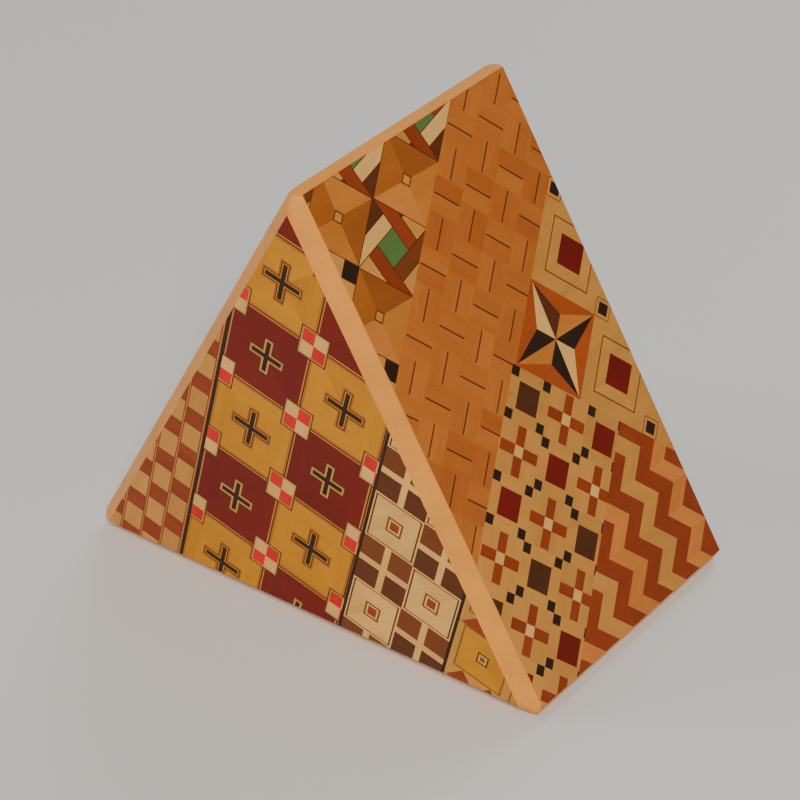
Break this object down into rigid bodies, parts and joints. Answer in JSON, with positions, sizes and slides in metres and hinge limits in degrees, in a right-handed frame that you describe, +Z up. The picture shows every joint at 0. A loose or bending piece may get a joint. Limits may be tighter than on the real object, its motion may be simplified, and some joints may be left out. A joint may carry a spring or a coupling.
{
  "type": "triangular trick box",
  "caption": "Triangular-prism trick box faced with geometric wood marquetry; its end panels, base and sloping lid slide on hidden rails to open a plain inner box.",
  "frame": {"origin": "middle of the base's underside", "axes": "+Z up to the ridge; +Y along the ridge, from the front end to the back end; +X to the lid's side"},
  "size_m": [0.0974, 0.06, 0.0844],
  "materials": {
    "honey_wood": "satin lacquer over a honey-coloured light wood",
    "marquetry": "satin lacquer over sheets of many-coloured wood marquetry",
    "plain_wood": "planed pale wood without lacquer",
    "key_wood": "waxed dark hardwood"
  },
  "bodies": {
    "inner_box": {"inner_floor": "plain_wood", "inner_left_wall": "plain_wood", "inner_front_wall": "plain_wood", "inner_back_wall": "plain_wood", "upper_stretcher": "plain_wood", "lower_stretcher": "plain_wood", "lid_rail_upper": "key_wood", "lid_rail_lower": "key_wood", "front_guide_long": "key_wood", "front_guide_short": "key_wood", "back_guide_long": "key_wood", "back_guide_short": "key_wood", "base_guide_front": "key_wood", "base_guide_back": "key_wood", "left_panel": "honey_wood", "left_marquetry": "marquetry"},
    "front_end": {"front_panel": "honey_wood", "front_marquetry": "marquetry", "front_key": "key_wood"},
    "back_end": {"back_panel": "honey_wood", "back_marquetry": "marquetry", "back_key": "key_wood", "lock_key": "key_wood"},
    "base": {"base_panel": "honey_wood", "base_marquetry": "marquetry"},
    "lid": {"lid_panel": "honey_wood", "lid_marquetry": "marquetry", "lid_stop_key": "key_wood"}
  },
  "joints": [
    {"name": "front_slide", "type": "slide", "parent": "inner_box", "child": "front_end", "axis": [-0.5, 0, 0.866], "range_m": [0, 0.006]},
    {"name": "back_slide", "type": "slide", "parent": "inner_box", "child": "back_end", "axis": [-0.5, 0, 0.866], "range_m": [0, 0.006]},
    {"name": "base_slide", "type": "slide", "parent": "inner_box", "child": "base", "axis": [-1, 0, 0], "range_m": [0, 0.006]},
    {"name": "lid_slide", "type": "slide", "parent": "inner_box", "child": "lid", "axis": [0, 1, 0], "range_m": [0, 0.04]}
  ]
}
